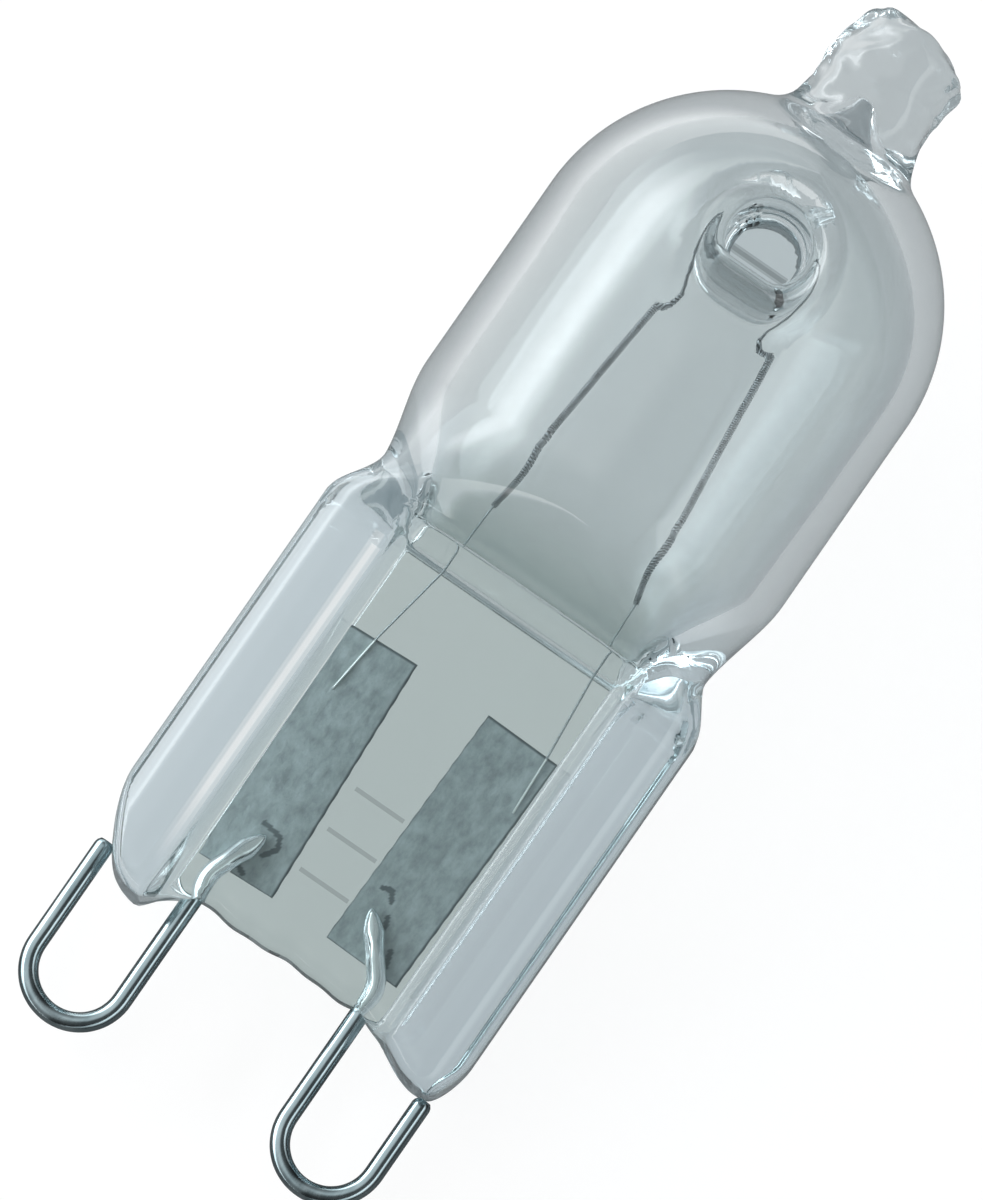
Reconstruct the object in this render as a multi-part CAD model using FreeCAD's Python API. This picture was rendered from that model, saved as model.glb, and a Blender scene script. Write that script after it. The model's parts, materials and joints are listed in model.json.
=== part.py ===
import FreeCAD, Part
import math
import os

# Halogen capsule bulb with a two-loop pinch base.
# Clear quartz envelope, coiled filament over a glass bridge, two sealing foils, two contact loops.
# It is drawn upright first: X across the pinch, Z up the axis, the front face towards -Y,
# and Z = 0 at the lower edge of the thin web between the two rails of the pinch.
# It is then laid on its back, as it comes to rest on a table. All sizes are millimetres.

# Bulb
bulb_radius = 6.5
glass_wall = 0.9
bulb_straight = 6.55
tip_radius = 2.05
tip_length = 3.7
tip_rounding = 0.45
tip_root_blend = 0.45
tip_offset = 0.06
tip_slant_angle = 31.0
tip_slant_start = 0.75
bore_radius = 0.95
bore_end_radius = 0.3
bore_length = 1.9

# Shoulder, where the round bulb is squeezed into the flat pinch
shoulder_height = 5.0
neck_height = 2.0
neck_half_width = 6.0
neck_half_depth = 4.6

# Sections of the shoulder: shares of the way from the pinch to the neck, and from the neck to the bulb.
# A roundness of 0 is a rectangle and 1 an ellipse.
bevel_rise_share = 0.45
bevel_width_share = 0.4
bevel_depth_share = 0.35
bevel_roundness = 0.35
neck_roundness = 0.75
swell_rise_share = 0.5
swell_share = 0.77
swell_roundness = 0.95

# Pinch
pinch_half_width = 6.75
pinch_height = 12.4
rail_half_thickness = 2.5
rail_corner_radius = 1.3
rail_width = 1.9
rail_flank = 0.6
web_half_thickness = 1.25
web_top_slope = 0.3
web_corner_radius = 0.4
rail_drop = 0.95
web_edge_half_width = 2.9
left_slant_end = 4.4
right_slant_end = 5.6
left_corner_rise = 2.3
left_corner_run = 2.0
right_corner_rise = 0.75
right_corner_run = 0.7
foot_corner_bulge = 0.2

# Lines pressed into the front of the web by the pinching jaws
jaw_line_count = 3
jaw_line_pitch = 1.47
jaw_line_foot = 2.4
jaw_line_width = 0.16
jaw_line_depth = 0.06
jaw_line_length = 1.75

# Cavity floor, a narrow slot where the two walls of the tube were squeezed together
floor_rise = 1.1
floor_half_width = 4.3
floor_half_thickness = 0.35
cavity_swell = 4.0
slot_corner_share = 0.9

# Section of the cavity's foot, as shares of the way from the slot to the round bulb
foot_rise_share = 0.45
foot_width_share = 0.75
foot_depth_share = 0.62
foot_roundness = 0.85

# Bridge: a dimple pressed in from each side, fused in the middle, to hold the filament
bridge_rise = 1.8
bridge_offset = 0.05
bridge_glass = 1.1
dimple_bottom_radius = 1.0
dimple_rim_radius = 2.7
dimple_rim_round = 0.9
bridge_wall = 0.4

# Outline of the dimple, as shares of the way from its bottom to its rim, across and in depth
throat_flare_share = 0.08
throat_depth_share = 0.6
mouth_flare_share = 0.45
mouth_depth_share = 0.86

# Contact loops
wire_radius = 0.31
loop_spacing = 9.2
outer_leg_inset = 0.6
loop_drop = 5.6
leg_to_glass = 0.05
weld_flat = 0.06
weld_rise = 2.8
left_weld_offset = 2.3
right_weld_offset = 1.55
leg_bend_rise = 0.9
leg_bend_radius = 1.2

# Sealing foils
foil_length = 8.3
foil_width = 2.6
foil_thickness = 0.03
foil_foot = 1.28
left_foil_offset = 2.38
right_foil_offset = 2.21
left_foil_splay = 2.9
right_foil_splay = 1.4

# Filament
coil_radius = 0.14
tail_radius = 0.05
tail_flat = 0.02
filament_clearance = 0.02
coil_foot_rise = 1.7
left_coil_foot = 2.36
right_coil_foot = 2.79
left_coil_kink = 1.79
right_coil_kink = 2.06
kink_drop = 3.15
kink_rise = 0.95
coil_corner_radius = 0.7
left_tail_offset = 2.97
right_tail_offset = 3.3
left_tail_end = 3.2
right_tail_end = 3.4
tail_on_foil = 2.0

# Heights and places that follow from the sizes above
neck_z = pinch_height + neck_height
straight_z = pinch_height + shoulder_height
dome_z = straight_z + bulb_straight
tip_top_z = dome_z + bulb_radius + tip_length
floor_z = pinch_height + floor_rise
cavity_straight_z = floor_z + cavity_swell
inner_radius = bulb_radius - glass_wall
bridge_z = dome_z + bridge_rise
post_radius = dimple_bottom_radius + bridge_wall
wrap_radius = post_radius + coil_radius + filament_clearance
foil_front_y = wire_radius - weld_flat
filament_y = foil_front_y - tail_radius + tail_flat
web_half_width = pinch_half_width - rail_width
foil_top = foil_foot + foil_length
coil_foot_z = floor_z + coil_foot_rise
reach = 2 * bulb_radius
flat_tolerance = 0.001
tilt_rounds = 6


def mix(low, high, share):
    return low + (high - low) * share


def polar(centre, radius, degrees):
    """Point in the XZ plane at an angle from +X about the centre (x, z)."""
    angle = math.radians(degrees)
    return FreeCAD.Vector(centre[0] + radius * math.cos(angle), 0, centre[1] + radius * math.sin(angle))


def arc(start, middle, end):
    return Part.Arc(start, middle, end).toShape()


def line(start, end):
    return Part.LineSegment(start, end).toShape()


def turned(edges):
    """Solid turned about the Z axis from a closed outline in the XZ plane."""
    face = Part.Face(Part.Wire(edges))
    return face.revolve(FreeCAD.Vector(0, 0, 0), FreeCAD.Vector(0, 0, 1), 360)


def section(half_width, half_depth, corner, z, roundness=0.0):
    """Closed outline at height z, from a rectangle with round corners to an ellipse at roundness 1."""
    diagonal = corner * math.sqrt(0.5)
    flat_x = half_width - corner
    flat_y = half_depth - corner
    square = [(flat_x, half_depth), (flat_x + diagonal, flat_y + diagonal), (half_width, flat_y)]
    angles = (math.pi / 3, math.pi / 4, math.pi / 6)
    oval = [(half_width * math.cos(angle), half_depth * math.sin(angle)) for angle in angles]
    quarter = [(mix(s[0], o[0], roundness), mix(s[1], o[1], roundness)) for s, o in zip(square, oval)]
    corners = []
    for index, (side_x, side_y) in enumerate(((1, 1), (-1, 1), (-1, -1), (1, -1))):
        order = quarter if index % 2 else quarter[::-1]
        corners.append([FreeCAD.Vector(side_x * x, side_y * y, z) for x, y in order])
    peaks = ((0, half_depth), (-half_width, 0), (0, -half_depth), (half_width, 0))
    edges = []
    for index, points in enumerate(corners):
        following = corners[(index + 1) % 4][0]
        peak = FreeCAD.Vector(peaks[index][0], peaks[index][1], z)
        edges.append(arc(*points))
        edges.append(arc(points[2], peak, following) if roundness else line(points[2], following))
    return Part.Wire(edges)


def tip_stub():
    """Stub of the exhaust tube, melted off at a slant."""
    foot = dome_z + inner_radius
    stub = Part.makeCylinder(tip_radius, tip_top_z - foot, FreeCAD.Vector(tip_offset, 0, foot))
    corner = FreeCAD.Vector(tip_offset + tip_slant_start, 0, tip_top_z)
    slice_box = Part.makeBox(reach, reach, reach, corner - FreeCAD.Vector(0, reach / 2, 0))
    slice_box.rotate(corner, FreeCAD.Vector(0, 1, 0), tip_slant_angle)
    stub = stub.cut(slice_box)
    top_edges = [edge for edge in stub.Edges if edge.BoundBox.ZMin > foot + tip_length / 2]
    return stub.makeFillet(tip_rounding, top_edges)


def dome():
    """Straight wall and hemisphere of the bulb."""
    wall_foot = FreeCAD.Vector(bulb_radius, 0, straight_z)
    wall_top = FreeCAD.Vector(bulb_radius, 0, dome_z)
    top = FreeCAD.Vector(0, 0, dome_z + bulb_radius)
    foot = FreeCAD.Vector(0, 0, straight_z)
    quarter = arc(wall_top, polar((0, dome_z), bulb_radius, 45), top)
    return turned([line(foot, wall_foot), line(wall_foot, wall_top), quarter, line(top, foot)])


def round_stub_root(body):
    """Soft flare where the stub meets the dome."""
    root_z = dome_z + math.sqrt(bulb_radius ** 2 - tip_radius ** 2)
    near = [edge for edge in body.Edges if abs(edge.CenterOfMass.z - root_z) < tip_root_blend
            and edge.BoundBox.XLength > tip_radius]
    return body.makeFillet(tip_root_blend, near)


def shoulder():
    """Smooth run from the bulb's circle to the pinch's outline."""
    foot = section(pinch_half_width, rail_half_thickness, rail_corner_radius, pinch_height)
    bevel_width = mix(pinch_half_width, neck_half_width, bevel_width_share)
    bevel_depth = mix(rail_half_thickness, neck_half_depth, bevel_depth_share)
    bevel_z = mix(pinch_height, neck_z, bevel_rise_share)
    bevel = section(bevel_width, bevel_depth, rail_corner_radius, bevel_z, bevel_roundness)
    neck = section(neck_half_width, neck_half_depth, rail_corner_radius, neck_z, neck_roundness)
    swell_width = mix(neck_half_width, bulb_radius, swell_share)
    swell_depth = mix(neck_half_depth, bulb_radius, swell_share)
    swell_z = mix(neck_z, straight_z, swell_rise_share)
    swell = section(swell_width, swell_depth, rail_corner_radius, swell_z, swell_roundness)
    top = section(bulb_radius, bulb_radius, rail_corner_radius, straight_z, 1.0)
    return Part.makeLoft([foot, bevel, neck, swell, top], True, False)


def foot_corner(start, end):
    """Round outer corner of a rail's foot, bulging down and out."""
    run = end - start
    outward = FreeCAD.Vector(run.z, 0, -run.x).normalize()
    return arc(start, (start + end) * 0.5 + outward * foot_corner_bulge, end)


def pinch():
    """Flat foot of the envelope, with its uneven lower edge."""
    plan = section(pinch_half_width, rail_half_thickness, rail_corner_radius, -reach)
    block = Part.Face(plan).extrude(FreeCAD.Vector(0, 0, reach + pinch_height))
    side = pinch_half_width
    left_wall = FreeCAD.Vector(-side, 0, left_corner_rise - rail_drop)
    right_wall = FreeCAD.Vector(side, 0, right_corner_rise - rail_drop)
    feet = [
        FreeCAD.Vector(left_corner_run - side, 0, -rail_drop),
        FreeCAD.Vector(-left_slant_end, 0, -rail_drop),
        FreeCAD.Vector(-web_edge_half_width, 0, 0),
        FreeCAD.Vector(web_edge_half_width, 0, 0),
        FreeCAD.Vector(right_slant_end, 0, -rail_drop),
        FreeCAD.Vector(side - right_corner_run, 0, -rail_drop),
    ]
    left_top = FreeCAD.Vector(-side, 0, pinch_height)
    right_top = FreeCAD.Vector(side, 0, pinch_height)
    edges = [line(left_top, left_wall), foot_corner(left_wall, feet[0])]
    edges += [line(feet[index], feet[index + 1]) for index in range(5)]
    edges += [foot_corner(feet[5], right_wall), line(right_wall, right_top), line(right_top, left_top)]
    outline = Part.Face(Part.Wire(edges)).extrude(FreeCAD.Vector(0, reach, 0))
    outline.translate(FreeCAD.Vector(0, -reach / 2, 0))
    return block.common(outline)


def rectangle(half_width, foot, top, y):
    corners = [(-half_width, foot), (half_width, foot), (half_width, top), (-half_width, top)]
    points = [FreeCAD.Vector(x, y, z) for x, z in corners]
    return Part.makePolygon(points + [points[0]])


def web_recess(side):
    """Hollow pressed into the pinch on one side, between the rails. side is -1 in front, +1 behind."""
    depth = bulb_radius - web_half_thickness
    flank = rail_flank * depth / (rail_half_thickness - web_half_thickness)
    floor_width = web_half_width - rail_flank
    low = -reach
    floor = rectangle(floor_width, low, pinch_height, side * web_half_thickness)
    mouth_top = pinch_height + web_top_slope * depth
    mouth = rectangle(floor_width + flank, low, mouth_top, side * bulb_radius)
    recess = Part.makeLoft([floor, mouth], True, True)
    inner = [edge for edge in recess.Edges
             if edge.BoundBox.YLength < flat_tolerance and edge.BoundBox.ZMax > 0
             and abs(edge.CenterOfMass.y - side * web_half_thickness) < flat_tolerance]
    return recess.makeFillet(web_corner_radius, inner)


def jaw_lines():
    lines = []
    for index in range(jaw_line_count):
        foot = jaw_line_foot + index * jaw_line_pitch
        corner = FreeCAD.Vector(-jaw_line_length / 2, -web_half_thickness, foot)
        lines.append(Part.makeBox(jaw_line_length, jaw_line_depth, jaw_line_width, corner))
    return lines


def cavity():
    """Hollow inside the bulb, with the bore of the exhaust tube above and a slot below."""
    axis_foot = FreeCAD.Vector(0, 0, cavity_straight_z)
    wall_foot = FreeCAD.Vector(inner_radius, 0, cavity_straight_z)
    wall_top = FreeCAD.Vector(inner_radius, 0, dome_z)
    bore_angle = math.degrees(math.acos(bore_radius / inner_radius))
    bore_root = polar((0, dome_z), inner_radius, bore_angle)
    inner_dome = arc(wall_top, polar((0, dome_z), inner_radius, bore_angle / 2), bore_root)
    bore_end = bore_root + FreeCAD.Vector(bore_end_radius - bore_radius, 0, bore_length)
    bore_axis = FreeCAD.Vector(0, 0, bore_end.z)
    upper = turned([line(axis_foot, wall_foot), line(wall_foot, wall_top), inner_dome,
                    line(bore_root, bore_end), line(bore_end, bore_axis), line(bore_axis, axis_foot)])
    slot = section(floor_half_width, floor_half_thickness, floor_half_thickness * slot_corner_share, floor_z)
    middle_width = mix(floor_half_width, inner_radius, foot_width_share)
    middle_depth = mix(floor_half_thickness, inner_radius, foot_depth_share)
    middle_z = mix(floor_z, cavity_straight_z, foot_rise_share)
    middle = section(middle_width, middle_depth, floor_half_thickness, middle_z, foot_roundness)
    top = section(inner_radius, inner_radius, floor_half_thickness, cavity_straight_z, 1.0)
    lower = Part.makeLoft([slot, middle, top], True, False)
    return upper.fuse(lower)


def spool(waist_radius, rim_radius, start):
    """Flared body about the bridge's axis, from y = start to beyond the bulb's wall."""
    rim_y = math.sqrt(bulb_radius ** 2 - dimple_rim_radius ** 2 - bridge_rise ** 2)
    waist = FreeCAD.Vector(waist_radius, start, 0)
    throat_radius = mix(waist_radius, rim_radius, throat_flare_share)
    throat = FreeCAD.Vector(throat_radius, mix(start, rim_y, throat_depth_share), 0)
    mouth_radius = mix(waist_radius, rim_radius, mouth_flare_share)
    mouth = FreeCAD.Vector(mouth_radius, mix(start, rim_y, mouth_depth_share), 0)
    rim = FreeCAD.Vector(rim_radius, rim_y, 0)
    slope = rim - mouth
    far = rim + slope * (dimple_rim_round / slope.Length)
    outer = FreeCAD.Vector(far.x, bulb_radius, 0)
    axis_end = FreeCAD.Vector(0, bulb_radius, 0)
    axis_start = FreeCAD.Vector(0, start, 0)
    edges = [line(waist, throat), arc(throat, mouth, rim), line(rim, outer)]
    edges += [line(outer, axis_end), line(axis_end, axis_start), line(axis_start, waist)]
    body = Part.Face(Part.Wire(edges)).revolve(FreeCAD.Vector(0, 0, 0), FreeCAD.Vector(0, 1, 0), 360)
    body.translate(FreeCAD.Vector(bridge_offset, 0, bridge_z))
    return body


def mirrored(shape):
    return shape.mirror(FreeCAD.Vector(0, 0, 0), FreeCAD.Vector(0, 1, 0))


def rod(points, bend_radii, radius):
    """Round rod along straight runs joined by tangent arcs. One bend radius for each inner point."""
    edges = []
    start = points[0]
    for index in range(1, len(points) - 1):
        corner = points[index]
        back = (points[index - 1] - corner).normalize()
        ahead = (points[index + 1] - corner).normalize()
        half = back.getAngle(ahead) / 2
        setback = bend_radii[index - 1] / math.tan(half)
        enter = corner + back * setback
        leave = corner + ahead * setback
        bisector = (back + ahead).normalize()
        centre = corner + bisector * (bend_radii[index - 1] / math.sin(half))
        edges += [line(start, enter), arc(enter, centre - bisector * bend_radii[index - 1], leave)]
        start = leave
    edges.append(line(start, points[-1]))
    path = Part.Wire(edges)
    direction = points[1] - points[0]
    disc = Part.Wire(Part.Circle(points[0], direction, radius).toShape())
    return path.makePipeShell([disc], True, False)


def flat_point(x, z, y=0.0):
    return FreeCAD.Vector(x, y, z)


def contact_pin(side, weld_offset, foil_offset, splay):
    """Wire loop: outer leg, half turn, inner leg, bent over and pressed flat on its foil."""
    loop_x = side * loop_spacing / 2
    outer_x = side * (pinch_half_width - outer_leg_inset)
    turn_radius = abs(outer_x - loop_x)
    inner_x = loop_x - side * turn_radius
    turn_z = wire_radius + turn_radius - loop_drop
    tall_leg = Part.makeCylinder(wire_radius, pinch_height, flat_point(outer_x, turn_z))
    leg_top = tall_leg.common(pinch()).BoundBox.ZMin - leg_to_glass
    outer_leg = Part.makeCylinder(wire_radius, leg_top - turn_z, flat_point(outer_x, turn_z))
    ring = Part.Circle(flat_point(outer_x, turn_z), flat_point(0, 1), wire_radius)
    disc = Part.Face(Part.Wire(ring.toShape()))
    bend = disc.revolve(flat_point(loop_x, turn_z), FreeCAD.Vector(0, side, 0), 180)
    inner_points = [flat_point(inner_x, turn_z), flat_point(inner_x, leg_bend_rise)]
    inner_points.append(flat_point(side * weld_offset, weld_rise))
    inner_leg = rod(inner_points, [leg_bend_radius], wire_radius)
    loop = outer_leg.fuse([bend, inner_leg])
    return loop.cut(foil(side, foil_offset, splay, wire_radius))


def foil(side, offset, splay, thickness=foil_thickness):
    """Thin ribbon sealed in the web, behind the contact's weld and the filament's tail."""
    corner = FreeCAD.Vector(side * offset - foil_width / 2, foil_front_y, foil_foot)
    ribbon = Part.makeBox(foil_width, thickness, foil_length, corner)
    ribbon.rotate(flat_point(side * offset, foil_foot), FreeCAD.Vector(0, 1, 0), side * splay)
    return ribbon


def limb(side, foot, kink):
    """One coiled limb, from its foot to the side of the bridge."""
    wrap_x = bridge_offset + side * wrap_radius
    points = [flat_point(side * foot, coil_foot_z, filament_y)]
    points.append(flat_point(side * kink, bridge_z - kink_drop, filament_y))
    points.append(flat_point(wrap_x, bridge_z - kink_drop + kink_rise, filament_y))
    points.append(flat_point(wrap_x, bridge_z, filament_y))
    return rod(points, [coil_corner_radius, coil_corner_radius], coil_radius)


def tail(side, foot, offset, end):
    """Thin straight end of the wire, from the coil through the glass and down the foil."""
    points = [flat_point(side * foot, coil_foot_z, filament_y)]
    points.append(flat_point(side * foot, pinch_height, filament_y))
    points.append(flat_point(side * offset, foil_top, filament_y))
    points.append(flat_point(side * end, foil_top - tail_on_foil, filament_y))
    return rod(points, [coil_corner_radius, coil_corner_radius], tail_radius)


def filament():
    """One coiled wire: two limbs, the turn over the bridge, and two thin tails pressed on the foils."""
    start = flat_point(bridge_offset + wrap_radius, bridge_z, filament_y)
    disc = Part.Face(Part.Wire(Part.Circle(start, flat_point(0, 1), coil_radius).toShape()))
    turn = disc.revolve(flat_point(bridge_offset, bridge_z, filament_y), FreeCAD.Vector(0, -1, 0), 180)
    pieces = [limb(-1, left_coil_foot, left_coil_kink), limb(1, right_coil_foot, right_coil_kink)]
    pieces.append(tail(-1, left_coil_foot, left_tail_offset, left_tail_end))
    pieces.append(tail(1, right_coil_foot, right_tail_offset, right_tail_end))
    seats = [foil(-1, left_foil_offset, left_foil_splay, tail_radius)]
    seats.append(foil(1, right_foil_offset, right_foil_splay, tail_radius))
    return turn.fuse(pieces).removeSplitter().cut(seats)


def envelope(metal):
    """The whole glass: bulb, bridge, shoulder, pinch and tip, closed round the metal."""
    body = round_stub_root(dome().fuse(tip_stub()))
    body = body.fuse([shoulder(), pinch()])
    body = body.cut([web_recess(-1), web_recess(1)] + jaw_lines())
    wall = spool(post_radius, dimple_rim_radius + bridge_wall, 0)
    hollow = cavity().cut([wall, mirrored(wall)])
    dimple = spool(dimple_bottom_radius, dimple_rim_radius, bridge_glass / 2)
    body = body.cut([hollow, dimple, mirrored(dimple)])
    return body.cut(metal)


def laid_down(tilt):
    """Placement on the back, front face up, the tip raised by the tilt in degrees."""
    rise = math.sin(math.radians(tilt))
    run = math.cos(math.radians(tilt))
    matrix = FreeCAD.Matrix(0, rise, run, 0, -1, 0, 0, 0, 0, -run, rise, 0, 0, 0, 0, 1)
    return FreeCAD.Placement(matrix)


def resting_tilt(pins):
    """Tilt at which the bulb touches the table together with the pinch's rails or the loops."""
    foot = Part.makeCompound([pinch()] + pins)
    bulb = dome()
    span = straight_z + rail_drop
    tilt = math.degrees(math.asin((bulb_radius - rail_half_thickness) / span))
    for _ in range(tilt_rounds):
        lows = []
        for shape in (bulb, foot):
            laid = shape.copy()
            laid.Placement = laid_down(tilt).multiply(laid.Placement)
            lows.append(laid.optimalBoundingBox(False).ZMin)
        tilt += math.degrees((lows[1] - lows[0]) / span)
    return tilt


def main():
    os.makedirs("parts", exist_ok=True)
    nodes = {
        "foil_left": foil(-1, left_foil_offset, left_foil_splay),
        "foil_right": foil(1, right_foil_offset, right_foil_splay),
        "filament": filament(),
        "contact_pin_left": contact_pin(-1, left_weld_offset, left_foil_offset, left_foil_splay),
        "contact_pin_right": contact_pin(1, right_weld_offset, right_foil_offset, right_foil_splay),
    }
    nodes["glass_envelope"] = envelope(list(nodes.values()))
    pins = [nodes["contact_pin_left"], nodes["contact_pin_right"]]
    tilt = resting_tilt(pins)
    outermost = Part.makeCompound([dome(), tip_stub(), pinch()] + pins)
    outermost.Placement = laid_down(tilt)
    box = outermost.optimalBoundingBox(False)
    to_origin = FreeCAD.Vector(-box.Center.x, -box.Center.y, -box.ZMin)
    place = FreeCAD.Placement(to_origin, FreeCAD.Rotation()).multiply(laid_down(tilt))
    print("tilt", round(tilt, 3), "box", box.XLength, box.YLength, box.ZLength)
    print("base at", place.Base, "pointing along", place.Rotation.multVec(FreeCAD.Vector(0, 0, -1)))
    for name, shape in nodes.items():
        shape.Placement = place.multiply(shape.Placement)
        print(name, shape.isValid(), len(shape.Solids), round(shape.Volume, 3), len(shape.Faces))
        shape.exportStep("parts/" + name + ".step")


main()
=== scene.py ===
import json
import math
import bpy
import numpy as np
from mathutils import Matrix, Vector


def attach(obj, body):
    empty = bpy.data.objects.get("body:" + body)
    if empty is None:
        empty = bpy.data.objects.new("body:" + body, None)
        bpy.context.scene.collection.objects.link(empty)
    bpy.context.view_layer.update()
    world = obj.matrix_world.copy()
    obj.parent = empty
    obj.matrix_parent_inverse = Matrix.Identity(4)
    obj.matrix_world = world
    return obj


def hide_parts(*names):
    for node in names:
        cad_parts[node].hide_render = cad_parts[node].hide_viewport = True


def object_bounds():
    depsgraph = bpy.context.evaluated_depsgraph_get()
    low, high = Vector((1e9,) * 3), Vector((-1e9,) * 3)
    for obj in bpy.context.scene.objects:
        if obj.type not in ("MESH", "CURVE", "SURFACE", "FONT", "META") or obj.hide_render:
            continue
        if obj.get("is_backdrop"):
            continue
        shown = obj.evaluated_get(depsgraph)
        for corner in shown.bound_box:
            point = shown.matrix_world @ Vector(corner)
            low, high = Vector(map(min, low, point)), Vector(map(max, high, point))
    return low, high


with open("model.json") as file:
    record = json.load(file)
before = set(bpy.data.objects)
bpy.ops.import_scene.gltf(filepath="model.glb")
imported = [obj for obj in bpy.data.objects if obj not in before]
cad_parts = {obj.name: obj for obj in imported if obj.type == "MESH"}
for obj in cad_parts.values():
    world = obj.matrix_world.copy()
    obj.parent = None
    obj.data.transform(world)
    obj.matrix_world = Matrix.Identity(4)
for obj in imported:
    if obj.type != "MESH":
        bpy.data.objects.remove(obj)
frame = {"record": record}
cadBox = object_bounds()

# The lamp's own axes, in millimetres: x across the pinch, y from front to back, z up to the tip.
# The base mount gives their place in the frame, where the lamp lies on its back.
loopBase = next(mount for mount in frame["record"]["mounts"] if mount["name"] == "loop_base")
lampUp = -Vector(loopBase["axis"]).normalized()
lampSide = Vector((0.0, -1.0, 0.0))
lampBack = lampUp.cross(lampSide)
lampAxes = np.array([lampSide, lampBack, lampUp])
lampFoot = Vector(loopBase["pos_m"])
millimetre = 0.001


def toFrame(points):
    return np.array(lampFoot) + np.asarray(points, dtype=float) @ lampAxes * millimetre


def smoothStep(low, high, value):
    share = np.clip((value - low) / (high - low), 0.0, 1.0)
    return share * share * (3.0 - 2.0 * share)


def blend(first, second, share):
    return first + (second - first) * share


def softMax(first, second, reach):
    share = np.clip(0.5 + 0.5 * (first - second) / reach, 0.0, 1.0)
    return blend(second, first, share) + reach * share * (1.0 - share)


def softMin(first, second, reach):
    return -softMax(-first, -second, reach)


def addObject(name, mesh, material, nodes):
    piece = bpy.data.objects.new(name, mesh)
    bpy.context.scene.collection.objects.link(piece)
    mesh.materials.append(material)
    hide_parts(*nodes)
    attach(piece, "root")
    return piece


# Camera: looks at the flat face, a little from the loops' end, with the lamp aslant in the picture.
camera = {
    "lens": 800.0,              # long, because the photo shows no perspective
    "pixelsPerMillimetre": 33.2,
    "pictureHeight": 1200.0,
    "sensor": 36.0,
    "aim": (-0.80, 0.0, 12.54),  # point of the lamp at the picture's middle
    "rise": 55.2,               # angle of the lamp's axis in the picture
    "fromLoops": 5.1,           # degrees off the square view, towards the loops
    "fromRight": 1.9,           # and towards the right
    "clipStart": 0.05,
    "clipEnd": 3.0,             # times the distance to the lamp
}


def makeCamera(settings):
    data = bpy.data.cameras.new("camera")
    data.lens = settings["lens"]
    data.sensor_width = settings["sensor"]
    data.clip_start = settings["clipStart"]
    viewer = bpy.data.objects.new("camera", data)
    bpy.context.scene.collection.objects.link(viewer)
    bpy.context.scene.camera = viewer
    tiltUp = math.radians(settings["fromLoops"])
    tiltSide = math.radians(settings["fromRight"])
    gaze = lampBack + lampUp * math.tan(tiltUp) - lampSide * math.tan(tiltSide)
    gaze.normalize()
    lampInPicture = (lampUp - gaze * lampUp.dot(gaze)).normalized()
    acrossPicture = gaze.cross(lampInPicture)
    rise = math.radians(settings["rise"])
    right = lampInPicture * math.cos(rise) + acrossPicture * math.sin(rise)
    up = right.cross(gaze)
    fieldHeight = settings["pictureHeight"] / settings["pixelsPerMillimetre"] * millimetre
    distance = settings["lens"] / settings["sensor"] * fieldHeight
    aim = Vector(toFrame([settings["aim"]])[0])
    place = aim - gaze * distance
    viewer.matrix_world = Matrix([
        (right.x, up.x, -gaze.x, place.x),
        (right.y, up.y, -gaze.y, place.y),
        (right.z, up.z, -gaze.z, place.z),
        (0.0, 0.0, 0.0, 1.0),
    ])
    data.clip_end = distance * settings["clipEnd"]


makeCamera(camera)
print("camera set")


# Shader helpers
def newMaterial(name):
    material = bpy.data.materials.new(name)
    material.use_nodes = True
    tree = material.node_tree
    tree.nodes.clear()
    output = tree.nodes.new("ShaderNodeOutputMaterial")
    surface = tree.nodes.new("ShaderNodeBsdfPrincipled")
    tree.links.new(surface.outputs["BSDF"], output.inputs["Surface"])
    return material, tree, surface


def setSocket(tree, socket, value):
    # another node's output, a colour or a number
    if isinstance(value, bpy.types.NodeSocket):
        tree.links.new(value, socket)
    elif isinstance(value, tuple):
        socket.default_value = (*value, 1.0)
    else:
        socket.default_value = value


def calc(tree, operation, *values):
    node = tree.nodes.new("ShaderNodeMath")
    node.operation = operation
    for socket, value in zip(node.inputs, values):
        setSocket(tree, socket, value)
    return node.outputs[0]


def product(tree, *values):
    result = values[0]
    for value in values[1:]:
        result = calc(tree, "MULTIPLY", result, value)
    return result


def awayFrom(tree, value, middle):
    return calc(tree, "ABSOLUTE", calc(tree, "SUBTRACT", value, middle))


def hypotenuse(tree, first, second):
    squares = [calc(tree, "POWER", calc(tree, "ABSOLUTE", value), 2.0) for value in (first, second)]
    return calc(tree, "SQRT", calc(tree, "ADD", *squares))


def mapRange(tree, value, reach, result=(0.0, 1.0), curve="SMOOTHSTEP"):
    node = tree.nodes.new("ShaderNodeMapRange")
    node.interpolation_type = curve
    node.inputs["From Min"].default_value, node.inputs["From Max"].default_value = reach
    node.inputs["To Min"].default_value, node.inputs["To Max"].default_value = result
    tree.links.new(value, node.inputs["Value"])
    return node.outputs["Result"]


def mixColours(tree, first, second, share, way="MIX"):
    node = tree.nodes.new("ShaderNodeMix")
    node.data_type = "RGBA"
    node.blend_type = way
    for name, value in (("A", first), ("B", second), ("Factor", share)):
        setSocket(tree, node.inputs[name], value)
    return node.outputs["Result"]


def dotProduct(tree, source, direction):
    dot = tree.nodes.new("ShaderNodeVectorMath")
    dot.operation = "DOT_PRODUCT"
    dot.inputs[1].default_value = direction
    tree.links.new(source, dot.inputs[0])
    return dot.outputs["Value"]


def alongLamp(tree, direction, scale=1.0 / millimetre):
    # distance along one of the lamp's axes, in millimetres from its foot
    place = tree.nodes.new("ShaderNodeTexCoord").outputs["Object"]
    return calc(tree, "SUBTRACT", dotProduct(tree, place, direction * scale), lampFoot.dot(direction) * scale)


# Mottle: soft uneven patches, shared by all materials of the lamp
mottling = {
    "detail": 6.0,
    "roughness": 0.6,
    "contrast": (0.32, 0.68),
}


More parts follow.
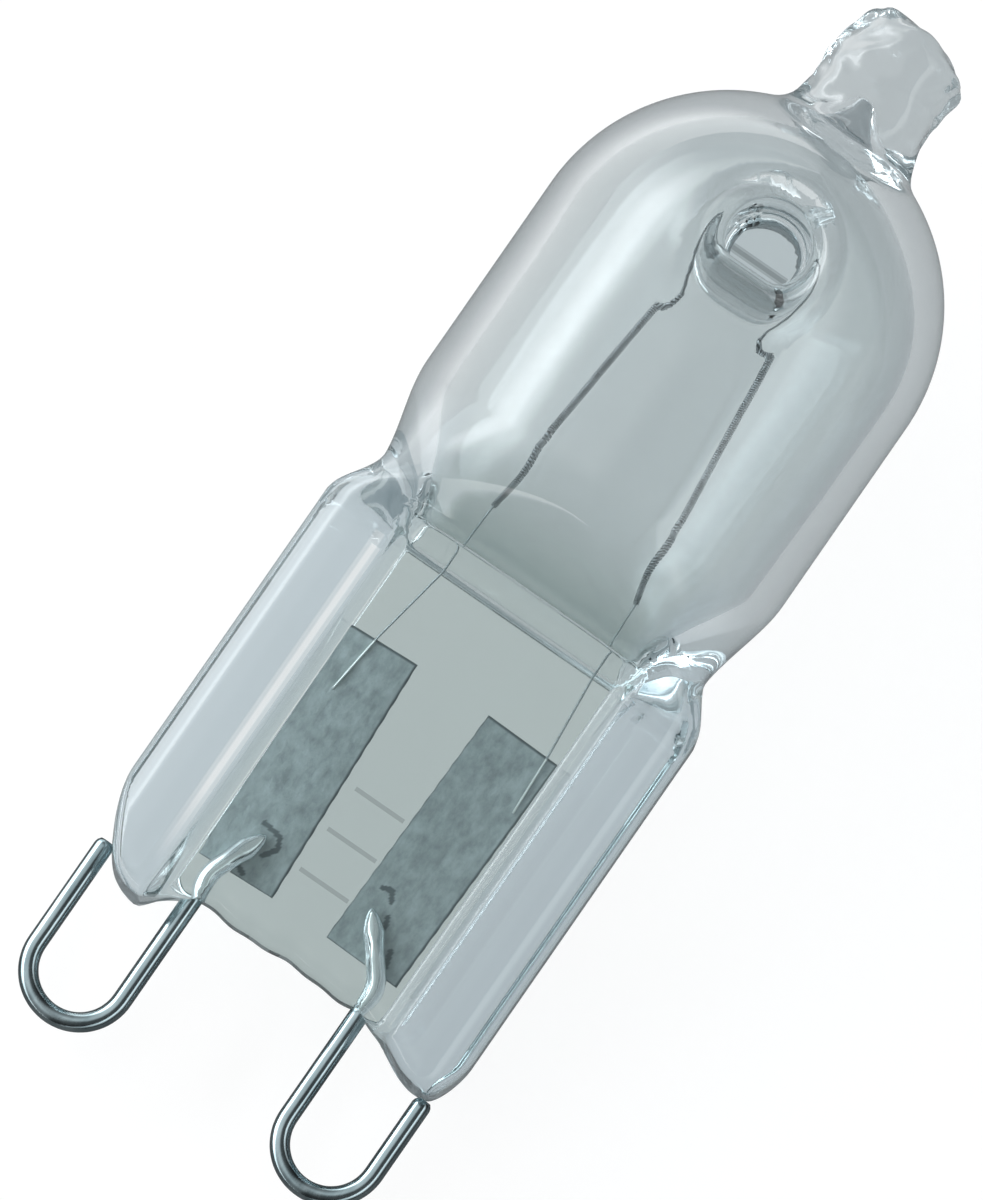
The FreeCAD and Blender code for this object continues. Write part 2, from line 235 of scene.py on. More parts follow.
def makeMottleGroup(settings):
    group = bpy.data.node_groups.new("mottle", "ShaderNodeTree")
    for name, way, kind in (
        ("Scale", "INPUT", "Float"), ("Stretch", "INPUT", "Vector"), ("Dark", "INPUT", "Color"),
        ("Light", "INPUT", "Color"), ("Color", "OUTPUT", "Color"), ("Height", "OUTPUT", "Float"),
    ):
        group.interface.new_socket(name, in_out=way, socket_type="NodeSocket" + kind)
    start = group.nodes.new("NodeGroupInput")
    end = group.nodes.new("NodeGroupOutput")
    place = group.nodes.new("ShaderNodeTexCoord")
    stretch = group.nodes.new("ShaderNodeVectorMath")
    stretch.operation = "MULTIPLY"
    noise = group.nodes.new("ShaderNodeTexNoise")
    noise.inputs["Detail"].default_value = settings["detail"]
    noise.inputs["Roughness"].default_value = settings["roughness"]
    share = mapRange(group, noise.outputs["Fac"], settings["contrast"], curve="LINEAR")
    colour = mixColours(group, start.outputs["Dark"], start.outputs["Light"], share)
    for source, socket in (
        (place.outputs["Object"], stretch.inputs[0]),
        (start.outputs["Stretch"], stretch.inputs[1]),
        (stretch.outputs["Vector"], noise.inputs["Vector"]),
        (start.outputs["Scale"], noise.inputs["Scale"]),
        (colour, end.inputs["Color"]),
        (noise.outputs["Fac"], end.inputs["Height"]),
    ):
        group.links.new(source, socket)
    return group


mottle = makeMottleGroup(mottling)


def addMottle(tree, settings):
    patch = tree.nodes.new("ShaderNodeGroup")
    patch.node_tree = mottle
    patch.inputs["Scale"].default_value = settings["scale"]
    patch.inputs["Stretch"].default_value = settings["stretch"]
    patch.inputs["Dark"].default_value = (*settings["dark"], 1.0)
    patch.inputs["Light"].default_value = (*settings["light"], 1.0)
    return patch


def addBump(tree, height, settings, surface):
    bump = tree.nodes.new("ShaderNodeBump")
    bump.inputs["Strength"].default_value = settings["bumpStrength"]
    bump.inputs["Distance"].default_value = settings["bumpDistance"]
    tree.links.new(height, bump.inputs["Height"])
    tree.links.new(bump.outputs["Normal"], surface.inputs["Normal"])


# Clear quartz
quartz = {
    "ior": 1.46,
    "tintHeights": (12.4, 17.6),     # the pinch's tints give way to the bulb's over these
    "bulbTint": (0.70, 0.742, 0.75),
    # the right rail's darker tint is painted shade, on the side away from the light
    "railTints": ((0.635, 0.70, 0.735), (0.575, 0.635, 0.67)),      # left and right
    "webTint": (0.483, 0.546, 0.539),
    "webEdge": (3.9, 4.5),
    # painted highlight: the left rail's inner edge is left untinted, bright where the light from the left
    # catches it
    "paintedHighlightTint": (1.0, 1.0, 1.0),     # painted highlight along the left rail's inner edge
    "paintedHighlightMiddle": -4.62,
    "paintedHighlightReach": (0.19, 0.13),
    "paintedHighlightFade": (0.2, 3.0),
    "paintedHighlightTop": 12.1,
    "ringTint": (0.55, 0.585, 0.60), # painted shade on the bulb's outer ring, seen through solid glass
    "ringReach": (5.0, 5.7),
    "ringHeights": (14.5, 16.5),
    "bridgeTint": (0.47, 0.53, 0.55),
    "bridgeReach": (1.4, 1.1),
    "archTint": (0.42, 0.49, 0.51),  # painted dark arch for the coil's turn, which refraction hides above the bridge
    "archRadius": 1.72,
    "archHalfWidth": 0.2,
    "archFrom": 0.75,
    "seamTint": (0.24, 0.28, 0.29),
    # dark lines across the bridge: its fused middle and its straight lower side, each with height,
    # half width, half length and depth
    "seams": ((25.47, 0.11, 1.0, 1.1), (24.56, 0.08, 1.3, 3.5)),
    "jawLineDark": (0.25, 0.29, 0.29),
    "jawLineFoot": 2.48,
    "jawLinePitch": 1.47,
    "jawLineCount": 3,
    "jawLineHalfWidth": 0.07,
    "jawLineHalfLength": 0.88,
    "jawLineDepth": -1.0,
    "scale": 90.0,                   # faint cloudiness and ripples
    "stretch": (1.0, 1.0, 1.0),
    "dark": (0.97, 0.97, 0.97),
    "light": (1.0, 1.0, 1.0),
    "bumpStrength": 0.02,
    "bumpDistance": 0.0004,
    "absorbColour": (0.70, 0.75, 0.7625, 1.0),
    "absorbDensity": 150.0,
    "shadowTint": (0.93, 0.945, 0.95, 1.0),
    "deepest": 2.5,                  # reflections inside the glass, past which a ray goes straight on
}


def jawLineMask(settings, tree, side, back, up):
    # three short lines across the front of the web
    step = calc(tree, "SUBTRACT", up, settings["jawLineFoot"])
    step = calc(tree, "DIVIDE", step, settings["jawLinePitch"])
    nearest = calc(tree, "ROUND", step)
    apart = calc(tree, "MULTIPLY", awayFrom(tree, step, nearest), settings["jawLinePitch"])
    return product(
        tree,
        calc(tree, "LESS_THAN", apart, settings["jawLineHalfWidth"]),
        calc(tree, "LESS_THAN", calc(tree, "ABSOLUTE", side), settings["jawLineHalfLength"]),
        calc(tree, "LESS_THAN", back, settings["jawLineDepth"]),
        calc(tree, "GREATER_THAN", nearest, -0.5),
        calc(tree, "LESS_THAN", nearest, settings["jawLineCount"] - 0.5),
    )


def pinchColour(settings, tree, side, up):
    # the right rail's tint is darker: painted shade on the side away from the light
    rails = mixColours(tree, *settings["railTints"], calc(tree, "GREATER_THAN", side, 0.0))
    outward = mapRange(tree, calc(tree, "ABSOLUTE", side), settings["webEdge"])
    pinch = mixColours(tree, settings["webTint"], rails, outward)
    # painted highlight: an untinted line along the left rail's inner edge
    fromLine = awayFrom(tree, side, settings["paintedHighlightMiddle"])
    line = product(
        tree,
        mapRange(tree, fromLine, settings["paintedHighlightReach"], curve="LINEAR"),
        mapRange(tree, up, settings["paintedHighlightFade"], curve="LINEAR"),
        calc(tree, "LESS_THAN", up, settings["paintedHighlightTop"]),
    )
    return mixColours(tree, pinch, settings["paintedHighlightTint"], line)


def bulbColour(settings, tree, side, up):
    overDome = calc(tree, "MAXIMUM", calc(tree, "SUBTRACT", up, glass["domeCentre"]), 0.0)
    # painted shade: a darker tint on the bulb's outer ring
    ring = product(
        tree,
        mapRange(tree, hypotenuse(tree, side, overDome), settings["ringReach"]),
        mapRange(tree, up, settings["ringHeights"]),
    )
    return mixColours(tree, settings["bulbTint"], settings["ringTint"], ring)


def addBridgeColours(settings, tree, colour, side, back, up):
    # the bridge's thin middle is as grey as the glass beside it
    apart = awayFrom(tree, side, glass["bridgeOffset"])
    over = calc(tree, "SUBTRACT", up, glass["bridgeHeight"])
    depth = calc(tree, "ABSOLUTE", back)
    radius = hypotenuse(tree, apart, over)
    inside = calc(tree, "LESS_THAN", depth, glass["bulbRadius"] / 2)
    middle = product(tree, mapRange(tree, radius, settings["bridgeReach"]), inside)
    colour = mixColours(tree, colour, settings["bridgeTint"], middle)
    # painted dark arch that stands for the coil's turn above the bridge
    arch = calc(tree, "LESS_THAN", awayFrom(tree, radius, settings["archRadius"]), settings["archHalfWidth"])
    arch = product(tree, arch, calc(tree, "GREATER_THAN", over, settings["archFrom"]), inside)
    colour = mixColours(tree, colour, settings["archTint"], arch)
    seams = 0.0
    for height, halfWidth, halfLength, reach in settings["seams"]:
        seam = product(
            tree,
            calc(tree, "LESS_THAN", awayFrom(tree, up, height), halfWidth),
            calc(tree, "LESS_THAN", apart, halfLength),
            calc(tree, "LESS_THAN", depth, reach),
        )
        seams = calc(tree, "MAXIMUM", seams, seam)
    return mixColours(tree, colour, settings["seamTint"], seams)


def makeQuartz(settings):
    material, tree, surface = newMaterial("clearQuartz")
    output = tree.nodes["Material Output"]
    surface.inputs["Roughness"].default_value = 0.0
    surface.inputs["IOR"].default_value = settings["ior"]
    surface.inputs["Transmission Weight"].default_value = 1.0
    side, back, up = (alongLamp(tree, direction) for direction in (lampSide, lampBack, lampUp))
    pinch = pinchColour(settings, tree, side, up)
    bulb = bulbColour(settings, tree, side, up)
    colour = mixColours(tree, pinch, bulb, mapRange(tree, up, settings["tintHeights"]))
    patch = addMottle(tree, settings)
    colour = mixColours(tree, colour, patch.outputs["Color"], 1.0, "MULTIPLY")
    colour = addBridgeColours(settings, tree, colour, side, back, up)
    jawLines = jawLineMask(settings, tree, side, back, up)
    colour = mixColours(tree, colour, settings["jawLineDark"], jawLines)
    tree.links.new(colour, surface.inputs["Base Color"])
    addBump(tree, patch.outputs["Height"], settings, surface)
    inside = tree.nodes.new("ShaderNodeVolumeAbsorption")
    inside.inputs["Color"].default_value = settings["absorbColour"]
    inside.inputs["Density"].default_value = settings["absorbDensity"]
    tree.links.new(inside.outputs["Volume"], output.inputs["Volume"])
    # light passes the glass on its way to the floor
    clear = tree.nodes.new("ShaderNodeBsdfTransparent")
    clear.inputs["Color"].default_value = settings["shadowTint"]
    path = tree.nodes.new("ShaderNodeLightPath")
    mix = tree.nodes.new("ShaderNodeMixShader")
    tooDeep = calc(tree, "GREATER_THAN", path.outputs["Glossy Depth"], settings["deepest"])
    straightOn = calc(tree, "MAXIMUM", path.outputs["Is Shadow Ray"], tooDeep)
    for source, socket in ((straightOn, "Fac"), (surface.outputs["BSDF"], 1), (clear.outputs["BSDF"], 2)):
        tree.links.new(source, mix.inputs[socket])
    tree.links.new(mix.outputs["Shader"], output.inputs["Surface"])
    return material


# Glass envelope: bulb, shoulder, pinch, bridge and tip as one field, below zero inside the glass
glass = {
    "bulbRadius": 6.5,
    "wall": 0.9,
    "domeCentre": 23.95,
    "pinchTop": 12.4,
    "pinchHalfWidth": 6.75,
    "waistIn": 0.85,                 # the neck is that much narrower than the pinch, each side
    "waistHeights": (12.3, 14.3),
    "swell": 0.62,
    "swellHeights": (13.9, 17.4),
    "depthHeights": (11.6, 17.2),    # over these the squeezed glass grows from the rails' depth to the bulb's
    "roundHeights": (12.6, 16.8),    # and its section goes from a rectangle to a circle
    "squareness": 5.0,
    "sectionHeights": (12.2, 13.8),
    "railHalfThickness": 2.5,
    "railCorner": 1.3,
    "webHalfThickness": 1.25,
    "webFloorHalfWidth": 3.9,
    "flankWidth": 0.35,
    "flankRound": 0.2,
    "recessRounds": (0.4, 0.35),     # where flank and ledge meet, and where they leave the web
    "beadCentre": 4.5,               # low bead along the rails' inner edges, on the back
    "beadHalfWidth": 0.42,
    "beadHeight": 0.28,
    "beadSoftness": 0.02,
    "beadDepths": (-0.5, 0.5),
    "footRound": 0.8,
    "ledgeSlope": 0.45,
    "footDrop": 0.95,
    "webEdge": 2.9,
    "slantEnd": (4.4, 5.6),          # left and right
    "cornerRun": (2.0, 0.7),
    "cornerRise": (2.3, 0.75),
    "edgeWave": 0.05,
    "edgePitches": (1.9, 4.7),
    "tipRadius": 2.05,
    "tipOffset": 0.06,
    "tipTop": 34.15,
    "tipSlant": 31.0,
    "tipSlantStart": 0.81,
    "tipTaper": 0.15,                # half of what the stub loses at its left, near its end
    "taperHeights": (32.2, 33.4),
    "tipLumps": 0.11,
    "tipRipples": 0.06,
    "tipPitches": (1.9, 4.6),        # of the lumps and the ripples
    "tipEndRound": 1.2,
    "tipSlantRound": 0.4,
    "tipJoin": 0.7,
    "tipRoot": 2.0,                  # the stub starts that far above the dome's centre
    "boreRoot": 29.47,
    "boreLength": 1.9,
    "boreRadius": (0.95, 0.3),
    "boreRound": 0.3,
    "boreJoin": 0.4,
    "floorHeight": 13.4,
    "floorHalfWidth": 4.3,
    "floorFlare": 0.6,
    "floorRound": 0.4,
    "floorSideRound": 0.8,
    "bridgeOffset": 0.05,
    "bridgeHeight": 25.75,
    "bridgeHalfGlass": 0.55,
    "bridgeRadius": 1.55,
    "bridgeFlat": 1.2,               # straight lower side, below the bridge's middle
    "bridgeFlare": 1.9,
    "bridgeRound": 0.25,
    "bridgeJoin": 0.3,
    "dimpleBottom": 1.3,
    "dimpleFlat": 0.95,              # straight lower side of the pressed hollow's bottom
    "dimpleRim": 2.7,
    "dimpleCurve": 11.0,
    "dimpleReach": 1.3,              # share of the rim's depth, past which the flare grows no more
    "dimpleSideRound": 0.2,
    "dimpleEndRound": 0.25,
    "dimpleRound": 0.9,
    "wallWave": 0.05,
    "wallPitch": 0.55,
    "cell": 0.2,
    "low": (-7.2, -7.0, -1.5),
    "high": (7.2, 7.0, 34.9),
    "settleLaps": 2,
}


def lumps(x, y, z, pitch):
    # smooth unevenness between about -1 and 1
    first = np.sin(x * pitch + 1.7 * np.sin(z * pitch * 0.6)) * np.cos(y * pitch * 0.9 + 0.4)
    second = np.sin(z * pitch * 1.3 + 2.1) * np.cos(x * pitch * 0.7 - y * pitch * 0.8)
    return 0.5 * (first + second)


def dimpleShare(g, depth):
    height = g["bridgeHeight"] - g["domeCentre"]
    rimDepth = math.sqrt(g["bulbRadius"] ** 2 - g["dimpleRim"] ** 2 - height ** 2)
    return np.clip(depth / rimDepth, 0.0, g["dimpleReach"])


def outerBody(g, x, y, z):
    overDome = np.maximum(z - g["domeCentre"], 0.0)
    halfWidth = g["pinchHalfWidth"] - g["waistIn"] * smoothStep(*g["waistHeights"], z)
    halfWidth = halfWidth + g["swell"] * smoothStep(*g["swellHeights"], z)
    halfDepth = blend(g["railHalfThickness"], g["bulbRadius"], smoothStep(*g["depthHeights"], z))
    fromBead = (np.abs(x) - g["beadCentre"]) / g["beadHalfWidth"]
    bead = np.maximum(1.0 - np.sqrt(fromBead ** 2 + g["beadSoftness"]), 0.0) * smoothStep(*g["beadDepths"], y)
    bulbShare = smoothStep(*g["sectionHeights"], z)
    halfDepth = halfDepth + g["beadHeight"] * bead * (1.0 - bulbShare)
    acrossCorner = np.abs(x) - halfWidth + g["railCorner"]
    depthCorner = np.abs(y) - halfDepth + g["railCorner"]
    corner = np.hypot(np.maximum(acrossCorner, 0.0), np.maximum(depthCorner, 0.0))
    block = corner + np.minimum(np.maximum(acrossCorner, depthCorner), 0.0) - g["railCorner"]
    power = blend(g["squareness"], 2.0, smoothStep(*g["roundHeights"], z))
    share = (np.abs(x) / halfWidth) ** power + (np.abs(y) / halfDepth) ** power
    share = share + (overDome / g["bulbRadius"]) ** 2
    bulb = (share ** (1.0 / power) - 1.0) * halfDepth
    return blend(block, bulb, bulbShare)


def pinchFoot(g, x):
    right = x > 0
    slantEnd = np.where(right, g["slantEnd"][1], g["slantEnd"][0])
    run = np.where(right, g["cornerRun"][1], g["cornerRun"][0])
    rise = np.where(right, g["cornerRise"][1], g["cornerRise"][0])
    across = np.abs(x)
    foot = -g["footDrop"] * np.clip((across - g["webEdge"]) / (slantEnd - g["webEdge"]), 0.0, 1.0)
    intoCorner = np.clip((across - g["pinchHalfWidth"] + run) / run, 0.0, 2.0)
    foot = foot + rise * intoCorner ** 2
    slow, quick = g["edgePitches"]
    return foot + g["edgeWave"] * (np.sin(x * slow + 0.6) + 0.5 * np.sin(x * quick))


def outerGlass(g, x, y, z):
    body = outerBody(g, x, y, z)
    # recess of the web, with sloping flanks and the ledge above
    recess = g["railHalfThickness"] - g["webHalfThickness"]
    flank = (np.abs(x) - g["webFloorHalfWidth"]) * recess / g["flankWidth"]
    ledge = (z - g["pinchTop"]) / g["ledgeSlope"]
    meeting, leaving = g["recessRounds"]
    rise = softMax(softMax(flank, ledge, meeting), np.zeros_like(x), leaving)
    body = softMax(body, np.abs(y) - g["webHalfThickness"] - rise, g["flankRound"])
    body = softMax(body, pinchFoot(g, x) - z, g["footRound"])
    # stub of the exhaust tube, melted off at a slant
    coarse, fine = (lumps(x, y, z, pitch) for pitch in g["tipPitches"])
    wave = g["tipLumps"] * coarse + g["tipRipples"] * fine
    taper = g["tipTaper"] * smoothStep(*g["taperHeights"], z)
    stub = np.hypot(x - g["tipOffset"] - taper, y) - g["tipRadius"] + taper + wave
    stub = softMax(stub, z - g["tipTop"] + wave, g["tipEndRound"])
    slant = math.radians(g["tipSlant"])
    slope = (x - g["tipSlantStart"]) * math.sin(slant) + (z - g["tipTop"]) * math.cos(slant)
    stub = softMax(stub, slope + wave, g["tipSlantRound"])
    stub = np.maximum(stub, g["domeCentre"] + g["tipRoot"] - z)
    body = softMin(body, stub, g["tipJoin"])
    # dimples pressed in from the front and the back: straight below, round above, opening to a round rim
    depth = np.abs(y)
    share = dimpleShare(g, np.maximum(depth - g["bridgeHalfGlass"], 0.0))
    pit = np.hypot(x - g["bridgeOffset"], z - g["bridgeHeight"]) - g["dimpleBottom"]
    pit = softMax(pit, g["bridgeHeight"] - z - g["dimpleFlat"], g["dimpleSideRound"])
    pit = pit - (g["dimpleRim"] - g["dimpleBottom"]) * share ** g["dimpleCurve"]
    pit = softMax(pit, g["bridgeHalfGlass"] - depth, g["dimpleEndRound"])
    return softMax(body, -pit, g["dimpleRound"])


def hollow(g, x, y, z):
    # the walls follow the outer form, down to a flat floor over the pinch
    space = outerBody(g, x, y, z) + g["wall"] + g["wallWave"] * lumps(x, y, z, g["wallPitch"])
    aboveFloor = z - g["floorHeight"]
    space = softMax(space, -aboveFloor, g["floorRound"])
    sides = np.abs(x) - g["floorHalfWidth"] - g["floorFlare"] * aboveFloor
    space = softMax(space, sides, g["floorSideRound"])
    boreShare = smoothStep(g["boreRoot"], g["boreRoot"] + g["boreLength"], z)
    bore = np.hypot(x, y) - blend(g["boreRadius"][0], g["boreRadius"][1], boreShare)
    bore = softMax(bore, z - g["boreRoot"] - g["boreLength"], g["boreRound"])
    bore = np.maximum(bore, g["domeCentre"] - z)
    space = softMin(space, bore, g["boreJoin"])
    # the bridge's glass, round above and straight below
    flare = g["bridgeFlare"] * dimpleShare(g, np.abs(y)) ** g["dimpleCurve"]
    post = np.hypot(x - g["bridgeOffset"], z - g["bridgeHeight"]) - g["bridgeRadius"]
    post = softMax(post, g["bridgeHeight"] - z - g["bridgeFlat"], g["bridgeRound"]) - flare
    return softMax(space, -post, g["bridgeJoin"])


def glassField(x, y, z):
    return np.maximum(outerGlass(glass, x, y, z), -hollow(glass, x, y, z))


def netSurface(field, low, high, cell):
    # one point in each cell that the surface passes, one face across each grid edge that it cuts
    axes = [np.arange(first, last + cell, cell) for first, last in zip(low, high)]
    values = field(*np.meshgrid(*axes, indexing="ij"))
    shape = np.array(values.shape) - 1
    sums = np.zeros((shape.prod(), 3))
    counts = np.zeros(shape.prod())
    loops = []
    for axis in range(3):
        start = np.take(values, np.arange(shape[axis]), axis)
        end = np.take(values, np.arange(1, shape[axis] + 1), axis)
        cut = (start < 0) != (end < 0)
        edges = np.argwhere(cut)
        place = edges.astype(float)
        place[:, axis] += start[cut] / (start[cut] - end[cut])
        across = (axis + 1) % 3
        along = (axis + 2) % 3
        ring = []
        for stepAcross, stepAlong in ((0, 0), (-1, 0), (-1, -1), (0, -1)):
            around = edges.copy()
            around[:, across] += stepAcross
            around[:, along] += stepAlong
            flat = np.ravel_multi_index(around.T, shape)
            np.add.at(sums, flat, place)
            np.add.at(counts, flat, 1.0)
            ring.append(flat)
        ring = np.stack(ring, axis=1)
        outward = (start[cut] < 0)[:, None]
        loops.append(np.where(outward, ring, ring[:, ::-1]))
    used = counts > 0
    numbers = np.cumsum(used) - 1
    points = sums[used] / counts[used, None] * cell + np.array(low)
    return points, numbers[np.concatenate(loops)]


def slopeOf(field, points, step=0.004):
    slope = np.zeros_like(points)
    for axis in range(3):
        shift = np.zeros(3)
        shift[axis] = step
        slope[:, axis] = (field(*(points + shift).T) - field(*(points - shift).T)) / (2 * step)
    return slope


def settle(field, points, faces, cell, laps, pulls=3):
    # evens the points out along the surface, then brings them back onto it
    pairs = np.concatenate([faces[:, [turn, (turn + 1) % 4]] for turn in range(4)])
    for lap in range(laps + 1):
        for pull in range(pulls):
            value = field(*points.T)
            slope = slopeOf(field, points)
            size = np.maximum((slope ** 2).sum(axis=1), 0.05)  # keeps a flat slope from a wild step
            move = slope * (value / size)[:, None]
            points = points - np.clip(move, -cell / 2, cell / 2)
        if lap < laps:
            sums = np.zeros_like(points)
            counts = np.zeros(len(points))
            for first, second in ((0, 1), (1, 0)):
                np.add.at(sums, pairs[:, first], points[pairs[:, second]])
                np.add.at(counts, pairs[:, first], 1.0)
            points = blend(points, sums / counts[:, None], 0.5)
    slope = slopeOf(field, points)
    return points, slope / np.linalg.norm(slope, axis=1, keepdims=True)


def makeEnvelope(settings, material):
    points, faces = netSurface(glassField, settings["low"], settings["high"], settings["cell"])
    points, normals = settle(glassField, points, faces, settings["cell"], settings["settleLaps"])
    mesh = bpy.data.meshes.new("envelope")
    mesh.from_pydata(toFrame(points).tolist(), [], faces.tolist())
    mesh.shade_smooth()
    mesh.normals_split_custom_set_from_vertices((normals @ lampAxes).tolist())
    print("envelope faces", len(mesh.polygons))
    addObject("envelope", mesh, material, ["glass_envelope"])


makeEnvelope(glass, makeQuartz(quartz))
print("glass made")


# Paths and swept wire
def roundPath(points, radii, pace):
    # straight runs joined by arcs, as points about pace apart
    points = [np.array(point, dtype=float) for point in points]
    path = [points[0]]
    for corner, before, after, radius in zip(points[1:-1], points, points[2:], radii):
        back = (before - corner) / np.linalg.norm(before - corner)
        ahead = (after - corner) / np.linalg.norm(after - corner)
        half = math.acos(np.clip(back @ ahead, -1.0, 1.0)) / 2
        middle = (back + ahead) / np.linalg.norm(back + ahead)
        centre = corner + middle * radius / math.sin(half)
        enter = corner + back * radius / math.tan(half)
        leave = corner + ahead * radius / math.tan(half)
        turn = math.pi - 2 * half
        count = max(2, int(math.ceil(radius * turn / pace)))
        for step in range(count + 1):
            share = step / count
            first = math.sin((1 - share) * turn) / math.sin(turn)
            second = math.sin(share * turn) / math.sin(turn)
            path.append(centre + (enter - centre) * first + (leave - centre) * second)
    path.append(points[-1])
    return resample(path, pace)


def resample(path, pace):
    path = np.array(path)
    lengths = np.concatenate([[0.0], np.cumsum(np.linalg.norm(np.diff(path, axis=0), axis=1))])
    count = max(2, int(round(lengths[-1] / pace)) + 1)
    stations = np.linspace(0.0, lengths[-1], count)
    return np.stack([np.interp(stations, lengths, path[:, axis]) for axis in range(3)], axis=1)


def sweepWire(path, widths, thicknesses, sides=20):
    # closed tube; widths lie in the lamp's plane, thicknesses run from front to back
    tangents = np.gradient(path, axis=0)
    tangents /= np.linalg.norm(tangents, axis=1, keepdims=True)
    depth = np.array([0.0, 1.0, 0.0])
    acrosses = np.cross(tangents, depth)
    acrosses /= np.linalg.norm(acrosses, axis=1, keepdims=True)
    angles = np.arange(sides) * 2 * math.pi / sides
    rings = (path[:, None, :]
             + acrosses[:, None, :] * (np.cos(angles)[None, :] * widths[:, None])[..., None]
             + depth * (np.sin(angles)[None, :] * thicknesses[:, None])[..., None])
    points = rings.reshape(-1, 3)
    faces = []
    for ring in range(len(path) - 1):
        for side in range(sides):
            following = (side + 1) % sides
            low = ring * sides
            high = low + sides
            faces.append((low + side, high + side, high + following, low + following))
    faces.append(tuple(range(sides)))
    last = (len(path) - 1) * sides
    faces.append(tuple(last + side for side in reversed(range(sides))))
    return points, faces


def joinedMesh(name, parts):
    points = []
    faces = []
    for partPoints, partFaces in parts:
        shift = len(points)
        points.extend(toFrame(partPoints).tolist())
        faces.extend([tuple(corner + shift for corner in face) for face in partFaces])
    mesh = bpy.data.meshes.new(name)
    mesh.from_pydata(points, [], faces)
    mesh.shade_smooth()
    return mesh


# Contact loops
loop = {
    "wire": 0.31,
    "centre": 4.6,
    "halfGap": 1.55,
    "drop": 5.6,
    "freeEnd": (-0.05, -1.05),       # left and right
    "bendHeight": (0.95, 0.9),
    "weld": ((-2.3, 2.8), (1.55, 2.8)),
    "bendRadius": 1.2,
    "pressLength": 1.5,
    "pressWidth": 1.12,
    "pressThickness": 0.6,
    "pressFade": 0.35,               # share of the pressed length that is pressed fully
    "foilFront": 0.25,
    "endRound": 0.12,
    "noseLength": 0.7,
    "leastEnds": (0.02, 0.45),       # the nose's and the free end's slimness at their tips
    "pace": 0.1,
    "turnSteps": 40,
}
loopMetal = {
    "dark": (0.24, 0.31, 0.33),
    "light": (0.42, 0.50, 0.52),
    "sealed": (0.86, 0.90, 0.91),    # inside the glass, where no air has reached the wire
    "sealedFrom": 0.2,
    "scale": 260.0,
    "stretch": (1.0, 6.0, 6.0),
    "roughness": (0.084, 0.224),
    "bumpStrength": 0.12,
    "bumpDistance": 0.00004,
}


def makeLoopMetal(settings):
    material, tree, surface = newMaterial("platedWire")
    surface.inputs["Metallic"].default_value = 1.0
    patch = addMottle(tree, settings)
    sealed = calc(tree, "GREATER_THAN", alongLamp(tree, lampUp), settings["sealedFrom"])
    colour = mixColours(tree, patch.outputs["Color"], settings["sealed"], sealed)
    tree.links.new(colour, surface.inputs["Base Color"])
    rough = mapRange(tree, patch.outputs["Height"], (0.0, 1.0), settings["roughness"], "LINEAR")
    tree.links.new(rough, surface.inputs["Roughness"])
    addBump(tree, patch.outputs["Height"], settings, surface)
    return material


def makeLoop(name, node, side, settings, material):
    index = 0 if side < 0 else 1
    wire = settings["wire"]
    gap = settings["halfGap"]
    pace = settings["pace"]
    outerX = side * (settings["centre"] + gap)
    innerX = side * (settings["centre"] - gap)
    turnZ = wire + gap - settings["drop"]
    weldX, weldZ = settings["weld"][index]
    turn = []
    for step in range(settings["turnSteps"] + 1):
        angle = math.pi * step / settings["turnSteps"]
        turn.append((side * (settings["centre"] + gap * math.cos(angle)), 0.0, turnZ - gap * math.sin(angle)))
    corners = [(innerX, 0.0, turnZ), (innerX, 0.0, settings["bendHeight"][index]), (weldX, 0.0, weldZ)]
    leg = roundPath(corners, [settings["bendRadius"]], pace)
    path = resample([(outerX, 0.0, settings["freeEnd"][index])] + turn + list(leg[1:]), pace)
    lengths = np.arange(len(path)) * pace
    fromEnd = lengths[-1] - lengths
    press = smoothStep(settings["pressLength"], settings["pressLength"] * settings["pressFade"], fromEnd)
    leastNose, leastTail = settings["leastEnds"]
    nose = np.sqrt(np.clip(fromEnd / settings["noseLength"], leastNose, 1.0))
    tail = np.sqrt(np.clip(lengths / settings["endRound"], leastTail, 1.0))
    widths = wire * blend(1.0, settings["pressWidth"], press) * nose * tail
    thicknesses = wire * blend(1.0, settings["pressThickness"], press) * np.sqrt(nose) * tail
    path[:, 1] += press * (settings["foilFront"] - wire * settings["pressThickness"])
    mesh = joinedMesh(name, [sweepWire(path, widths, thicknesses)])
    addObject(name, mesh, material, [node])


plated = makeLoopMetal(loopMetal)
makeLoop("loopLeft", "contact_pin_left", -1, loop, plated)
makeLoop("loopRight", "contact_pin_right", 1, loop, plated)
print("loops made")


# Sealing foils
foil = {
    "length": 8.3,
    "width": 2.6,
    "thickness": 0.03,
    "foot": 1.28,
    "front": 0.25,
    "offset": (2.38, 2.21),
    "splay": (2.9, 1.4),
    "crinkle": 0.02,
    "crinklePitch": 3.1,
    "ragged": 0.008,
    "raggedPitch": 9.3,
    "cell": 0.05,
    "rims": (0.49, 0.09, 0.06, 0.01),  # dark rim: share of the width, then the right, top and foot edges
    # dark strokes by the wires' ends, each from a point to a point
    "strokes": (
        ((-2.57, 3.09, -1.95, 3.0), (-1.95, 3.0, -1.79, 2.64), (-1.79, 2.64, -2.06, 2.24),
         (-2.55, 1.6, -2.25, 1.45)),
        ((1.45, 3.5, 1.75, 3.6), (1.75, 3.6, 1.92, 3.3), (2.1, 2.85, 2.2, 2.55), (2.75, 2.05, 2.9, 1.6)),
    ),
    "strokeHalfWidth": 0.085,
}
foilMetal = {
    "dark": (0.345, 0.395, 0.40),
    "light": (0.57, 0.635, 0.645),
    "edgeDark": (0.16, 0.19, 0.20),
    "scale": 3000.0,
    "stretch": (0.6, 1.0, 1.0),
    "metallic": 0.2,
    "roughness": 0.55,
    "bumpStrength": 0.5,
    "bumpDistance": 0.0001,
}


